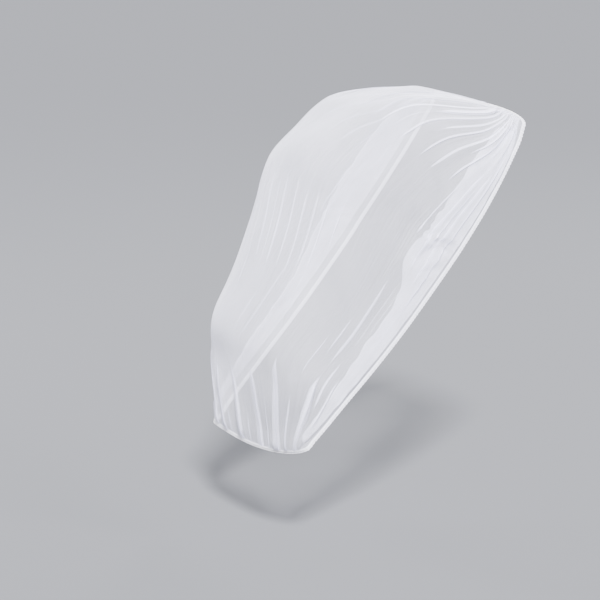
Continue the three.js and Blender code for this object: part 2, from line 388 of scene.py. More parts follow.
@dataclass(frozen=True)
class RibbedTapeFinish:
    """Woven white tape or elastic: ribs both ways with painted shade in the grooves between them, random fuzz
    in the tone, and a soft sheen; scales are per metre.
    """

    name: str
    # light is the colour of the rib tops; shade is the painted shade in the grooves between the ribs
    light: Colour = (0.76, 0.762, 0.86, 1.0)
    painted_groove_shade: Colour = (0.45, 0.452, 0.54, 1.0)
    ribs: Scale = (900.0, 700.0, 1.0)
    rib_width: float = 0.16
    rib_waver: float = 0.4
    cord_waver: float = 0.2
    fuzz: Scale = (240.0, 240.0, 1.0)
    # painted_shade_share sets how strongly the painted groove shade shows; fuzz_share sets the random fuzz tone
    painted_shade_share: float = 0.6
    fuzz_share: float = 0.5
    relief: float = 0.5
    relief_depth: float = 0.4 * MM
    roughness: float = 0.62
    sheen: float = 0.3
    cover: float = 1.0

    def build(self) -> bpy.types.Material:
        """Make the material from the map Weave, in metres.

        Returns:
            The material.
        """
        bench = NodeBench(self.name)
        ribs, cords = (
            bench.on_uv("Weave", self.ribs, "TexWave", wave_type="BANDS", bands_direction=direction,
                        Scale=self.rib_width, Distortion=waver)
            for direction, waver in (("X", self.rib_waver), ("Y", self.cord_waver))
        )
        fuzz = bench.on_uv("Weave", self.fuzz, "TexNoise", noise_dimensions="2D", Detail=4.0, Roughness=0.6)
        # The colour runs from the shade colour in the grooves to the light colour on the ribs: painted shade
        # that follows the rib relief, plus random fuzz tone
        weave = bench.math("MULTIPLY", ribs.outputs["Fac"], cords.outputs["Fac"])
        fluff = bench.math("MULTIPLY", fuzz.outputs[0], self.fuzz_share)
        painted_shade_and_fuzz = bench.math("ADD", bench.math("MULTIPLY", weave, self.painted_shade_share), fluff)
        colour = bench.add("Mix", data_type="RGBA")
        painted_groove_shade, light = (s for s in colour.inputs if s.type == "RGBA")
        painted_groove_shade.default_value, light.default_value = self.painted_groove_shade, self.light
        bench.link(painted_shade_and_fuzz, colour.inputs["Factor"])
        shader = bench.add(
            "BsdfPrincipled", Roughness=self.roughness, Sheen_Weight=self.sheen, Alpha=self.cover
        )
        bench.link(next(s for s in colour.outputs if s.type == "RGBA"), shader.inputs["Base Color"])
        bench.bump(weave, self.relief, self.relief_depth, shader)
        return bench.finish(shader)


@dataclass(frozen=True)
class SewingThreadFinish:
    """Twisted white polyester sewing thread."""

    colour: Colour = (0.95, 0.95, 0.96, 1.0)
    turns_per_metre: float = 1800.0
    relief: float = 0.4
    relief_depth: float = 0.1 * MM
    roughness: float = 0.5

    def build(self) -> bpy.types.Material:
        """Make the material with a fine twist in its relief.

        Returns:
            The material.
        """
        bench = NodeBench("sewing_thread")
        place = bench.add("TexCoord")
        mapping = bench.add("Mapping", Scale=(self.turns_per_metre,) * 3)
        bench.link(place.outputs["Object"], mapping.inputs["Vector"])
        twist = bench.add("TexNoise", Scale=1.0, Detail=2.0)
        bench.link(mapping.outputs[0], twist.inputs["Vector"])
        shader = bench.add("BsdfPrincipled", Base_Color=self.colour, Roughness=self.roughness)
        bench.bump(twist.outputs[0], self.relief, self.relief_depth, shader)
        return bench.finish(shader)


@dataclass(frozen=True)
class StudioFloorFinish:
    """Plain pale matt floor."""

    colour: Colour = (0.094, 0.096, 0.106, 1.0)
    roughness: float = 0.9
    specular: float = 0.1

    def build(self) -> bpy.types.Material:
        """Make the material.

        Returns:
            The material.
        """
        bench = NodeBench("studio_floor")
        return bench.finish(bench.add("BsdfPrincipled", Base_Color=self.colour, Roughness=self.roughness,
                                      Specular_IOR_Level=self.specular))


# The net's smooth shape, shared by the cloth and the elastic


@dataclass(frozen=True)
class Station:
    """One cross-section of the net along its spine, in millimetres over the floor under the front hem.

    Attributes:
        name: Part of the net where it lies.
        at: Place on the spine, 0 to 1.
        edge_y: How far back the side hems are.
        y: How far back the spine is.
        z: How high the spine is.
        half: Half the net's width.
        square: Power of the section; 2 is an ellipse, more is boxier.
    """

    name: str
    at: float
    edge_y: float
    y: float
    z: float
    half: float
    square: float


STATIONS = (
    Station("front hem", 0.0, -3, -48, 238, 215, 1.8),
    Station("shin", 0.08, 15, -58, 320, 218, 2.0),
    Station("under knee", 0.16, 50, -78, 430, 220, 2.1),
    Station("knee", 0.22, 85, -92, 500, 220, 2.2),
    Station("lap", 0.32, 160, -52, 610, 222, 2.2),
    Station("chest", 0.44, 270, 8, 755, 223, 2.2),
    Station("brow", 0.56, 380, 58, 895, 223, 2.4),
    Station("hood", 0.66, 395, 150, 958, 223, 3.0),
    Station("crown", 0.75, 420, 255, 1010, 222, 3.6),
    Station("top", 0.84, 470, 365, 1026, 220, 2.9),
    Station("nape", 0.91, 515, 455, 1022, 216, 2.6),
    Station("rear", 0.96, 556, 530, 1004, 210, 2.4),
    Station("rear hem", 1.0, 585, 595, 980, 200, 2.2),
)


@dataclass
class Ribs:
    """Cross-sections of the smooth shape: points, outward directions and lengths, a row for each rib."""

    points: np.ndarray
    outward: np.ndarray
    arc: np.ndarray

    @property
    def length(self) -> np.ndarray:
        """Length of each rib, as a column."""
        return self.arc[:, -1:]

    def at(self, distance: np.ndarray, height: np.ndarray) -> np.ndarray:
        """Find points on the ribs.

        Args:
            distance: Distances from the far hem, a row for each rib.
            height: How far each point stands proud of the smooth shape.

        Returns:
            Positions, in metres.
        """
        place = np.empty(distance.shape + (3,))
        out = np.empty_like(place)
        for j, arc in enumerate(self.arc):
            for k in range(3):
                place[j, :, k] = np.interp(distance[j], arc, self.points[j, :, k])
                out[j, :, k] = np.interp(distance[j], arc, self.outward[j, :, k])
        return place + unit(out) * height[..., None]


@dataclass
class DrapeShape:
    """The smooth surface on which the net hangs, before its folds; its own sizes are in millimetres."""

    side_hem_y: tuple[float, ...] = (-3, 285, 568, 585)
    side_hem_z: tuple[float, ...] = (266, 550, 914, 952)
    far_front_drop: float = 40.0
    far_rear_shift: float = 20.0
    cloth: float = 2.0
    samples: int = 481
    hem_samples: int = 401
    fold_radius: float = 3.0 * MM
    fold_front: Span = (0.004, 0.07)
    fold_rear: Span = (0.945, 0.995)

    def column(self, name: str, along: np.ndarray) -> np.ndarray:
        """Evaluate one of the stations' columns along the spine."""
        return smooth_curve([s.at for s in STATIONS], [getattr(s, name) for s in STATIONS], along)

    def ribs(self, along: np.ndarray) -> Ribs:
        """Work out the ribs at these places on the spine.

        Args:
            along: Places, 0 at the front hem and 1 at the rear hem.

        Returns:
            The ribs, in the part's frame.
        """
        along = np.asarray(along, float)[:, None]
        angle = np.linspace(-0.5, 0.5, self.samples)[None, :] * math.pi
        square = self.column("square", along)
        side = np.sign(angle) * np.abs(np.sin(angle)) ** (2 / square)
        rise = np.maximum(np.cos(angle), 0.0) ** (2 / square)
        far = (1 - side) / 2
        edge = self.column("edge_y", along)
        hem_y = edge + self.far_rear_shift * far * along**4
        hem_z = smooth_curve(self.side_hem_y, self.side_hem_z, edge)
        hem_z = hem_z + far * (self.far_rear_shift * along**4 - self.far_front_drop * (1 - along) ** 2)
        reach_y = self.column("y", along) - hem_y
        reach_z = self.column("z", along) - hem_z
        half = self.column("half", along)
        points = np.stack([half * side, hem_y + reach_y * rise, hem_z + reach_z * rise], 2)
        across = np.sign(side) * np.abs(side) ** (square - 1) / half
        out = rise ** (square - 1) / (reach_y**2 + reach_z**2)
        outward = unit(np.stack([across, out * reach_y, out * reach_z], 2))
        top = next(s for s in STATIONS if s.name == "top")
        points = (points - np.array([0.0, top.y, top.z - self.cloth / 2])) * MM
        return Ribs(points, outward, run_length(points, axis=1))

    def openness(self, along: np.ndarray) -> np.ndarray:
        """How far the side folds have opened out: 0 folded, 1 flat."""
        front = 1 - smoothstep(along, *self.fold_front)
        return np.maximum(front, smoothstep(along, *self.fold_rear))

    def hem_loop(self, step: float) -> tuple[np.ndarray, np.ndarray]:
        """Trace the net's edge.

        Args:
            step: Distance between points, in metres.

        Returns:
            Points and outward directions round the closed edge, from the far front corner.
        """
        along = np.linspace(0, 1, self.hem_samples)
        ribs = self.ribs(along)
        sunk = -self.fold_radius * (1 - self.openness(along))[:, None]
        near, far = (ribs.points[:, end] + ribs.outward[:, end] * sunk for end in (-1, 0))
        loops = []
        for edge, near_side, far_side in (
            (ribs.points, near, far),
            (ribs.outward, ribs.outward[:, -1], ribs.outward[:, 0]),
        ):
            sides = [edge[0][:-1], near_side[:-1], edge[-1][:0:-1], far_side[:0:-1], edge[0][:1]]
            loops.append(np.vstack(sides))
        arc = run_length(loops[0], axis=0)
        place = np.linspace(0, arc[-1], int(round(arc[-1] / step)), endpoint=False)
        points, outward = (
            np.stack([np.interp(place, arc, loop[:, k]) for k in range(3)], 1) for loop in loops
        )
        return points, unit(outward)


# The cloth


@dataclass(frozen=True)
class Crease:
    """One main crease.

    Attributes:
        at: Place across, -1 at the far hem and 1 at the near hem.
        start: Place on the spine where it starts.
        end: Place on the spine where it ends.
        width: Width in millimetres between its ends.
        fold: How far it folds over itself; 1 is five layers.
        lean: The side that it leans to, -1 or 1.
    """

    at: float
    start: float
    end: float
    width: float
    fold: float = 1.0
    lean: int = 1


CREASES = (
    # Over the crown, from the gathers at the rear corners
    Crease(0.10, 0.74, 1.06, 2.6, 0.9),
    Crease(0.17, 0.75, 1.06, 2.8, 0.8, -1),
    Crease(0.235, 0.72, 1.06, 3.6, 1.0),
    Crease(0.29, 0.72, 1.06, 3.0, 1.0, -1),
    Crease(0.35, 0.84, 1.06, 8.0, 1.0),
    Crease(0.42, 0.715, 1.06, 3.8, 1.0),
    Crease(0.48, 0.82, 1.06, 3.0, 0.9, -1),
    Crease(0.54, 0.735, 1.06, 3.4, 1.0),
    Crease(0.62, 0.74, 1.06, 3.0, 1.0, -1),
    Crease(0.675, 0.85, 1.06, 2.6, 0.9),
    Crease(0.73, 0.77, 1.06, 3.4, 1.0),
    Crease(0.79, 0.89, 1.06, 3.6, 1.0, -1),
    Crease(0.85, 0.94, 1.06, 3.4, 1.0),
    Crease(0.88, 0.93, 1.06, 3.4, 0.9, -1),
    Crease(0.91, 0.95, 1.06, 3.4, 1.0),
    Crease(0.95, 0.96, 1.06, 4.0, 1.0, -1),
    Crease(-0.08, 0.80, 0.95, 2.2, 0.7, -1),
    Crease(-0.18, 0.75, 1.06, 2.8, 0.9),
    Crease(-0.27, 0.72, 1.06, 3.4, 1.0, -1),
    Crease(-0.36, 0.80, 1.06, 6.0, 1.0),
    Crease(-0.45, 0.73, 1.06, 3.2, 1.0, -1),
    Crease(-0.55, 0.74, 1.06, 3.2, 1.0),
    Crease(-0.64, 0.76, 1.06, 2.8, 1.0, -1),
    Crease(-0.74, 0.79, 1.06, 3.2, 1.0),
    Crease(-0.82, 0.90, 1.06, 3.6, 1.0, -1),
    Crease(-0.87, 0.94, 1.06, 3.6, 1.0),
    Crease(-0.93, 0.95, 1.06, 4.0, 1.0, -1),
    # Front panel, from the brow to the lap
    Crease(-0.36, 0.37, 0.53, 1.8, 0.7),
    Crease(-0.27, 0.34, 0.52, 1.8, 0.6, -1),
    Crease(-0.18, 0.36, 0.54, 2.2, 0.8),
    Crease(-0.08, 0.30, 0.53, 1.8, 0.7, -1),
    Crease(0.0, 0.36, 0.54, 1.8, 0.8),
    Crease(0.05, 0.37, 0.53, 1.6, 0.7, -1),
    Crease(0.10, 0.36, 0.54, 2.0, 0.9),
    Crease(0.17, 0.37, 0.54, 2.2, 1.0, -1),
    Crease(0.235, 0.36, 0.53, 1.6, 0.7),
    Crease(0.29, 0.39, 0.53, 2.0, 0.9, -1),
    Crease(0.35, 0.39, 0.54, 2.2, 0.9),
    Crease(0.42, 0.44, 0.54, 1.6, 0.8),
    # Side panels
    Crease(0.79, 0.28, 0.47, 3.6, 1.0, -1),
    Crease(0.73, 0.29, 0.38, 2.2, 0.9),
    Crease(0.85, 0.16, 0.30, 2.6, 0.9, -1),
    Crease(0.91, 0.10, 0.27, 2.6, 0.9),
    Crease(0.675, 0.22, 0.33, 2.0, 0.6),
    Crease(-0.82, 0.26, 0.46, 3.4, 0.9),
    Crease(-0.74, 0.28, 0.38, 2.0, 0.8, -1),
    Crease(0.79, 0.56, 0.80, 2.6, 0.8),
    Crease(0.85, 0.49, 0.88, 4.0, 1.0, -1),
    Crease(0.88, 0.52, 0.84, 3.0, 0.9),
    Crease(0.91, 0.47, 0.90, 4.0, 1.0, -1),
    Crease(0.95, 0.44, 0.94, 4.0, 1.0),
    Crease(-0.82, 0.54, 0.84, 3.0, 0.9),
    Crease(-0.87, 0.50, 0.88, 4.0, 1.0, -1),
    Crease(-0.93, 0.46, 0.92, 4.0, 1.0),
    # Lower front, spreading to the front hem
    Crease(0.79, 0.0, 0.25, 10, 1.0),
    Crease(0.62, 0.0, 0.16, 3.5, 0.9, -1),
    Crease(0.48, 0.0, 0.23, 8, 1.0),
    Crease(0.35, 0.0, 0.12, 3.0, 0.9, -1),
    Crease(0.235, 0.0, 0.18, 9, 1.0),
    Crease(0.10, 0.0, 0.09, 3.0, 0.8, -1),
    Crease(0.0, 0.0, 0.16, 9, 1.0),
    Crease(-0.18, 0.0, 0.10, 3.0, 0.9, -1),
    Crease(-0.27, 0.0, 0.17, 7, 1.0),
    Crease(-0.36, 0.0, 0.18, 5, 1.0, -1),
    Crease(-0.50, 0.0, 0.20, 8, 1.0),
    Crease(-0.64, 0.0, 0.16, 4, 0.9, -1),
    Crease(-0.82, 0.0, 0.2, 5, 0.9),
)


@dataclass(frozen=True)
class SoftRidge:
    """A broad soft ridge: place across, run along the spine, height and half width in mm."""

    at: float
    start: float
    end: float
    height: float
    half_width: float = 15.0


SOFT_RIDGES = (
    SoftRidge(-0.78, 0.3, 0.46, 5),
    SoftRidge(-0.78, 0.76, 0.95, 5),
    SoftRidge(-0.5, 0.0, 0.22, 6),
    SoftRidge(-0.5, 0.72, 0.97, 6),
    SoftRidge(-0.25, 0.0, 0.15, 7),
    SoftRidge(-0.25, 0.72, 0.97, 5),
    SoftRidge(0.0, 0.0, 0.13, 6),
    SoftRidge(0.0, 0.36, 0.55, 4),
    SoftRidge(0.25, 0.38, 0.53, 4),
    SoftRidge(0.25, 0.74, 0.97, 7),
    SoftRidge(0.43, 0.0, 0.17, 7),
    SoftRidge(0.43, 0.74, 0.97, 6),
    SoftRidge(0.63, 0.0, 0.22, 6),
    SoftRidge(0.63, 0.74, 0.96, 6),
    SoftRidge(0.79, 0.3, 0.47, 6),
    SoftRidge(0.79, 0.78, 0.95, 5),
    SoftRidge(0.91, 0.0, 0.26, 5),
)


@dataclass(frozen=True)
class RayWave:
    """Narrow crests that run out from a point like rays, and wander.

    Attributes:
        rays: Phase for each radian round the point.
        wander: How far the rays stray, in radians of phase.
        bends: How often they stray, for each radian round the point.
        drift: Phase for each metre outwards.
        height: Height of the crests, in millimetres.
    """

    rays: float
    wander: float
    bends: float
    drift: float
    height: float

    def at(self, angle: np.ndarray, away: np.ndarray, phase: np.ndarray | float = 0.0) -> np.ndarray:
        """Evaluate the crests.

        Args:
            angle: Direction from the point, in radians.
            away: Distance from the point, in metres.
            phase: Shift of the crests.

        Returns:
            Heights in metres.
        """
        stray = self.wander * np.sin(self.bends * angle + phase)
        return self.height * MM * crest(self.rays * angle + stray + self.drift * away + phase)


@dataclass
class NetCloth:
    """The one panel of net: creased where it is drawn tight, folded in three along both side hems.

    Spans named _front, _rear and _from_to run along the spine, 0 to 1.
    """

    shape: DrapeShape
    rows: int = 126
    plain_step: float = 12.0 * MM
    # Creases: columns across one, layers, and the fine ones between the main ones
    crease_steps: tuple[float, ...] = (
        0, 0.07, 0.125, 0.25, 0.33, 0.375, 0.5, 0.625, 0.67, 0.75, 0.875, 0.93, 1,
    )
    filler_steps: tuple[float, ...] = (0, 0.25, 0.5, 0.75, 1)
    overlap: float = 0.8
    crease_rise: float = 1.6 * MM
    rise_share: float = 0.22
    rise_limit: float = 3.4 * MM
    crease_ends: Span = (0.04, 0.05)
    crease_tip: float = 0.01
    tip_width: Span = (0.35, 0.65)
    crowding: Span = (0.3, 0.8)
    crowded_loss: float = 0.3
    free_front: Span = (-0.02, 0.02)
    free_rear: Span = (0.98, 1.005)
    front_flare: Span = (1.35, 2.2)
    strand_width: float = 0.004
    filler_lines: int = 30
    filler_reach: float = 0.97
    filler_room: float = 0.036
    filler_width: float = 3.0 * MM
    filler_fold: Span = (0.08, 0.32)
    filler_start: Span = (-0.02, 0.03)
    filler_runs: tuple[tuple[Span, Span], ...] = (
        ((0.0, 0.05), (0.04, 0.17)), ((0.3, 0.36), (0.36, 0.53)), ((0.72, 0.82), (0.82, 0.99)),
    )
    # How the strands lie: drawn together at the rear, spread at the front, swaying in between
    drawn_from_to: Span = (0.75, 1.0)
    drawn_share: float = 0.6
    drawn_ease: float = 1.5
    spread_from_to: Span = (0.0, 0.26)
    spread_ease: float = 1.7
    sway: float = 26.0 * MM
    sway_rise: Span = (0.18, 0.35)
    sway_fall: Span = (0.36, 0.56)
    # Side folds: width in millimetres along the spine
    near_fold: tuple[Span, ...] = (
        (0.0, 18), (0.08, 24), (0.26, 39), (0.33, 48), (0.41, 53), (0.46, 60), (0.505, 106),
        (0.62, 98), (0.77, 105), (0.84, 105), (0.91, 90), (0.96, 68), (1.0, 18),
    )
    far_fold: tuple[Span, ...] = (
        (0.0, 18), (0.1, 30), (0.3, 50), (0.44, 62), (0.52, 88), (0.66, 96), (0.84, 110),
        (0.91, 96), (0.96, 60), (1.0, 18),
    )
    layer_steps: int = 12
    turn_steps: int = 6
    turn_in: float = 15.0 * MM
    open_turn: float = 18.0 * MM
    hem_share: float = 0.4
    fold_strands: Span = (0.002, 0.06)
    ramp: float = 34.0 * MM
    # Unevenness: height and shortest wave of each, and where it fades
    fold_uneven: Span = (2.6 * MM, 0.05)
    layer_uneven: Span = (1.3 * MM, 0.03)
    panel_uneven: Span = (1.6 * MM, 0.09)
    even_fold: Span = (0.02, 0.06)
    even_layer: Span = (0.004, 0.02)
    even_hem: Span = (0.0, 0.05)
    even_front: Span = (0.0, 0.06)
    even_rear: Span = (0.93, 1.0)
    # Soft ridges: how they end, and how much lower and narrower they are where the cloth is drawn
    ridge_ease: float = 0.06
    drawn_ridge: Span = (0.5, 0.6)
    sewn_front: Span = (-0.01, 0.02)
    sewn_rear: Span = (0.975, 1.0)
    # Gathers along the hems: height, pitch and how far they reach in
    gather_height: float = 1.3 * MM
    gather_pitch: float = 19.0 * MM
    gather_reach: Span = (0.012, 0.01)
    gather_waver: tuple[Scale, ...] = ((3, 37, 0), (2, 11, 1))
    gather_swell: float = 3.1
    # Wrinkles that fan out from where the slack is caught, and those of the bunched rear corners
    # They rise and fade by the distance from that place, the height above it and the way in from the hem
    fan_at: Span = (0.47, 0.115)
    fan_near: Span = (0.0, 0.05)
    fan_far: Span = (0.16, 0.42)
    fan_above: Span = (-0.02, 0.06)
    fan_hem: Span = (0.0, 0.02)
    fan_inner: Span = (0.1, 0.17)
    fan_growth: Span = (0.08, 0.1)
    fan_coarse: RayWave = RayWave(17, 1.7, 5, 4, 3.8)
    fan_fine: RayWave = RayWave(41, 2.3, 7, -30, 1.4)
    far_fan: float = 0.8
    bunch_at: Span = (1.0, 0.02)
    bunch_offset: float = 0.004
    bunch_near: Span = (0.004, 0.04)
    bunch_far: Span = (0.06, 0.2)
    bunch_rays: RayWave = RayWave(19, 2.2, 4.1, 9, 6.2)
    far_bunch_phase: float = 1.9
    cut: float = 1.5
    rng: np.random.Generator = field(default_factory=lambda: np.random.default_rng(SEED))

    def drawn(self, along: np.ndarray) -> np.ndarray:
        """How far the cloth is drawn to the rear corners, 0 to 1."""
        return smoothstep(along, *self.drawn_from_to)

    def reach(self, ribs: Ribs, along: np.ndarray) -> np.ndarray:
        """Half width of the outer layer, from the spine to its turns."""
        opened = self.shape.openness(along)
        return ribs.length / 2 - (self.turn_in + (self.open_turn - self.turn_in) * opened)

    def spread(self, at: np.ndarray, along: np.ndarray) -> np.ndarray:
        """Work out where a strand lies across the net, as a share of the outer layer's half width.

        Args:
            at: Strands, -1 to 1.
            along: Places on the spine.

        Returns:
            The signed share for each row and strand.
        """
        size = np.abs(at)
        rear = size ** (1 - self.drawn_share * self.drawn(along) ** self.drawn_ease)
        front = 1 - (1 - size) ** self.spread_ease
        low = 1 - smoothstep(along, *self.spread_from_to)
        return np.sign(at) * (rear * (1 - low) + front * low)

    def lines(self) -> np.ndarray:
        """List the strands that can carry a crease: the main ones and fine ones between.

        Returns:
            Their places across, rising.
        """
        main = sorted({c.at for c in CREASES})
        filler = []
        for at in np.linspace(-self.filler_reach, self.filler_reach, self.filler_lines):
            if min(abs(at - m) for m in main) > self.filler_room:
                filler.append(float(at))
        return np.array(sorted(main + filler))

    def crease_field(self, lines: np.ndarray, along: np.ndarray) -> tuple[np.ndarray, np.ndarray, np.ndarray]:
        """Work out widths, fold depths and leans of all creases.

        Args:
            lines: Places across of the strands.
            along: Places on the spine, as a column.

        Returns:
            Width in metres, fold share and lean, each a row for each place on the spine.
        """
        v = along[:, 0]
        shape = (len(v), len(lines))
        width = np.full(shape, self.filler_width)
        fold = np.zeros(shape)
        lean = np.where(self.rng.random(len(lines)) < 0.5, -1.0, 1.0)[None, :] * np.ones(shape)
        rise, fall = self.crease_ends
        lead, settle = self.filler_start
        narrow, wider = self.tip_width
        for i in range(len(lines)):
            for starts, ends in self.filler_runs:
                start, end = self.rng.uniform(*starts), self.rng.uniform(*ends)
                if ends is self.filler_runs[-1][1]:
                    end = ends[1]
                strength = self.rng.uniform(*self.filler_fold)
                run = smoothstep(v, start + lead, start + settle) if starts[0] > 0 else np.ones_like(v)
                run = run * (1 - smoothstep(v, end - fall, end))
                fold[:, i] = np.maximum(fold[:, i], strength * run)
        for crease in CREASES:
            i = int(np.argmin(np.abs(lines - crease.at)))
            run = 1 - smoothstep(v, crease.end - fall, crease.end + self.crease_tip)
            if crease.start > 0:
                run = run * smoothstep(v, crease.start - self.crease_tip, crease.start + rise)
            live = run > 0.001
            flare = 1.0 if crease.start > 0 else self.front_flare[0] - self.front_flare[1] * v[live]
            wide = crease.width * MM * flare * (narrow + wider * run[live])
            width[live, i] = np.maximum(width[live, i], wide)
            fold[:, i] = np.maximum(fold[:, i], crease.fold * run)
            lean[live, i] = crease.lean
        return width, fold, lean

    def fitted(self, width: np.ndarray, ends: np.ndarray) -> np.ndarray:
        """Narrow the creases where they would run into each other.

        Args:
            width: Wished widths.
            ends: Where the creases and the two turns lie across.

        Returns:
            Widths that leave room between all neighbours.
        """
        edges = np.pad((width[:, 1:] + width[:, :-1]) / 2, ((0, 0), (1, 1)), mode="edge")
        share = np.minimum(1.0, 0.5 * np.diff(ends, axis=1) / np.maximum(edges, 1e-6))
        return width * np.minimum(share[:, :-1], share[:, 1:])

    def outer_layer(self, ribs: Ribs, along: np.ndarray) -> tuple[np.ndarray, np.ndarray, np.ndarray]:
        """Lay out the outer layer's columns, plain cloth and creases in turn.

        Args:
            ribs: The smooth shape's ribs.
            along: Places on the spine, as a column.

        Returns:
            Distance from the far hem, height, and strand place for each column.
        """
        lines = self.lines()
        reach = self.reach(ribs, along)
        sway = self.sway * (1 - smoothstep(along, *self.sway_fall)) * smoothstep(along, *self.sway_rise)
        centre = self.spread(lines[None, :], along) * reach + sway * (1 - lines[None, :] ** 2) ** 2
        width, fold, lean = self.crease_field(lines, along)
        ends = np.hstack([-reach, centre, reach])
        width = self.fitted(width, ends)
        room = np.minimum(centre - ends[:, :-2], ends[:, 2:] - centre)
        crowd = smoothstep(width / room, *self.crowding)
        tall = np.minimum(self.crease_rise + self.rise_share * width, self.rise_limit)
        tall = tall * fold * (1 - self.crowded_loss * crowd)

        main = {c.at for c in CREASES}
        blocks, heights, strands = [], [], []
        left_end, left_at = -reach[:, 0], -1.0
        for i, at in enumerate(list(lines) + [1.0]):
            last = i == len(lines)
            right_end = reach[:, 0] if last else centre[:, i] - width[:, i] / 2
            plain = max(1, int(round(float(np.max(right_end - left_end)) / self.plain_step)))
            shares = np.arange(0 if i == 0 else 1, plain + (1 if last else 0)) / plain
            blocks.append(left_end[:, None] * (1 - shares) + right_end[:, None] * shares)
            heights.append(np.zeros((len(along), len(shares))))
            strands.append(left_at + (at - left_at) * shares)
            if last:
                break
            steps = np.array(self.crease_steps if at in main else self.filler_steps)[None, :]
            turns = 2 if at in main else 1
            wiggle = self.overlap * fold[:, i : i + 1] * np.sin(math.tau * turns * steps)
            across = width[:, i : i + 1] * (steps - 0.5 + wiggle) * lean[:, i : i + 1]
            height = tall[:, i : i + 1] * (1 - steps)
            backwards = lean[:, i : i + 1] < 0
            blocks.append(centre[:, i : i + 1] + np.where(backwards, across[:, ::-1], across))
            heights.append(np.where(backwards, height[:, ::-1], height))
            strands.append(at + self.strand_width * (steps[0] - 0.5))
            left_end, left_at = centre[:, i] + width[:, i] / 2, at
        return np.hstack(blocks) + ribs.length / 2, np.hstack(heights), np.concatenate(strands)

    def fold_width(self, side: Side, along: np.ndarray) -> np.ndarray:
        """Work out the width of a side fold, uneven as slack net is.

        Args:
            side: Which hem.
            along: Places on the spine.

        Returns:
            Widths in metres.
        """
        table = self.near_fold if side is Side.NEAR else self.far_fold
        width = smooth_curve([row[0] for row in table], [row[1] for row in table], along) * MM
        height, pitch = self.fold_uneven
        uneven = ripple(self.rng, along * SPINE, along * 0, 5, pitch)
        return width + height * uneven * smoothstep(width, *self.even_fold)

    def side_fold(self, side: Side, along: np.ndarray) -> tuple[np.ndarray, np.ndarray]:
        """Lay out the columns of one side fold, from the outer layer's turn to the hem.

        Args:
            side: Which hem.
            along: Places on the spine, as a column.

        Returns:
            Distances in from the hem and heights.
        """
        r = self.shape.fold_radius
        width = self.fold_width(side, along)
        opened = self.shape.openness(along)
        turns = np.arange(1, self.turn_steps + 1) / self.turn_steps
        shares = np.arange(1, self.layer_steps) / self.layer_steps
        first = math.pi * (0.5 + turns)
        second = math.pi * (0.5 - np.concatenate([[0], turns]))
        ones = np.ones_like(along)
        inward = np.hstack([
            ones * (self.turn_in + r * np.cos(first)),
            self.turn_in + (width - self.turn_in) * shares,
            width + r * np.cos(second),
            width + (self.turn_in * self.hem_share - width) * shares,
            0 * ones,
        ])
        height = np.hstack([
            ones * (2 * r + r * np.sin(first)),
            r * ones * np.ones_like(shares),
            ones * r * np.sin(second),
            -r * ones * np.ones_like(shares),
            -r * ones,
        ])
        count = inward.shape[1]
        flat = self.open_turn * (1 - (np.arange(count) + 1) / count)[None, :]
        tall, pitch = self.layer_uneven
        wrinkle = ripple(self.rng, inward, along * SPINE, 6, pitch)
        height = height + tall * wrinkle * smoothstep(inward, *self.even_layer)
        return inward * (1 - opened) + flat * opened, height * (1 - opened)

    def relief(self, distance: np.ndarray, ribs: Ribs, along: np.ndarray) -> np.ndarray:
        """Add up the broad soft relief of the outer layer.

        Args:
            distance: Distances of the columns from the far hem.
            ribs: The smooth shape's ribs.
            along: Places on the spine, as a column.

        Returns:
            Heights in metres.
        """
        from_spine = distance - ribs.length / 2
        inward = ribs.length / 2 - np.abs(from_spine)
        opened = self.shape.openness(along)
        near, far = (self.fold_width(side, along) for side in (Side.NEAR, Side.FAR))
        width = np.where(from_spine > 0, near, far)
        lift = 3 * self.shape.fold_radius * (1 - opened)
        height = lift * (1 - smoothstep(inward - width, -self.ramp / 2, self.ramp))
        height = height + self.ridges(from_spine, self.reach(ribs, along), along)
        height = height + self.fan(inward, along, from_spine) + self.bunch(inward, along, from_spine)
        away = smoothstep(inward, *self.even_hem) * smoothstep(along, *self.even_front)
        away = away * (1 - smoothstep(along, *self.even_rear))
        tall, pitch = self.panel_uneven
        height = height + tall * away * ripple(self.rng, from_spine, along * SPINE, 7, pitch)
        height = height + self.gathers(inward, along) * (1 - opened)
        return height * smoothstep(along, *self.sewn_front) * (1 - smoothstep(along, *self.sewn_rear))

    def ridges(self, from_spine: np.ndarray, reach: np.ndarray, along: np.ndarray) -> np.ndarray:
        """Work out the broad soft ridges.

        Args:
            from_spine: Signed distances from the spine.
            reach: Half width of the outer layer.
            along: Places on the spine, as a column.

        Returns:
            Heights in metres.
        """
        drawn = self.drawn(along)
        lower, narrower = self.drawn_ridge
        height = np.zeros_like(from_spine)
        for ridge in SOFT_RIDGES:
            centre = self.spread(np.array([ridge.at]), along) * reach
            run = (1 - smoothstep(along, ridge.end - self.ridge_ease, ridge.end)) * (1 - lower * drawn)
            if ridge.start > 0:
                run = run * smoothstep(along, ridge.start, ridge.start + self.ridge_ease)
            half = ridge.half_width * MM * (1 - narrower * drawn)
            height = height + ridge.height * MM * run * np.exp(-(((from_spine - centre) / half) ** 2))
        return height

    def gathers(self, inward: np.ndarray, along: np.ndarray) -> np.ndarray:
        """Work out the small uneven gathers that the elastic draws along the side hems.

        Args:
            inward: Distances in from the nearer hem.
            along: Places on the spine, as a column.

        Returns:
            Heights in metres.
        """
        beat = math.tau * along * SPINE / self.gather_pitch
        for size, often, phase in self.gather_waver:
            beat = beat + size * np.sin(often * along + phase)
        shortest, more = self.gather_reach
        reach_in = shortest + more * (1 + np.sin(self.gather_swell * beat / math.tau))
        return self.gather_height * np.exp(-inward / reach_in) * crest(beat)

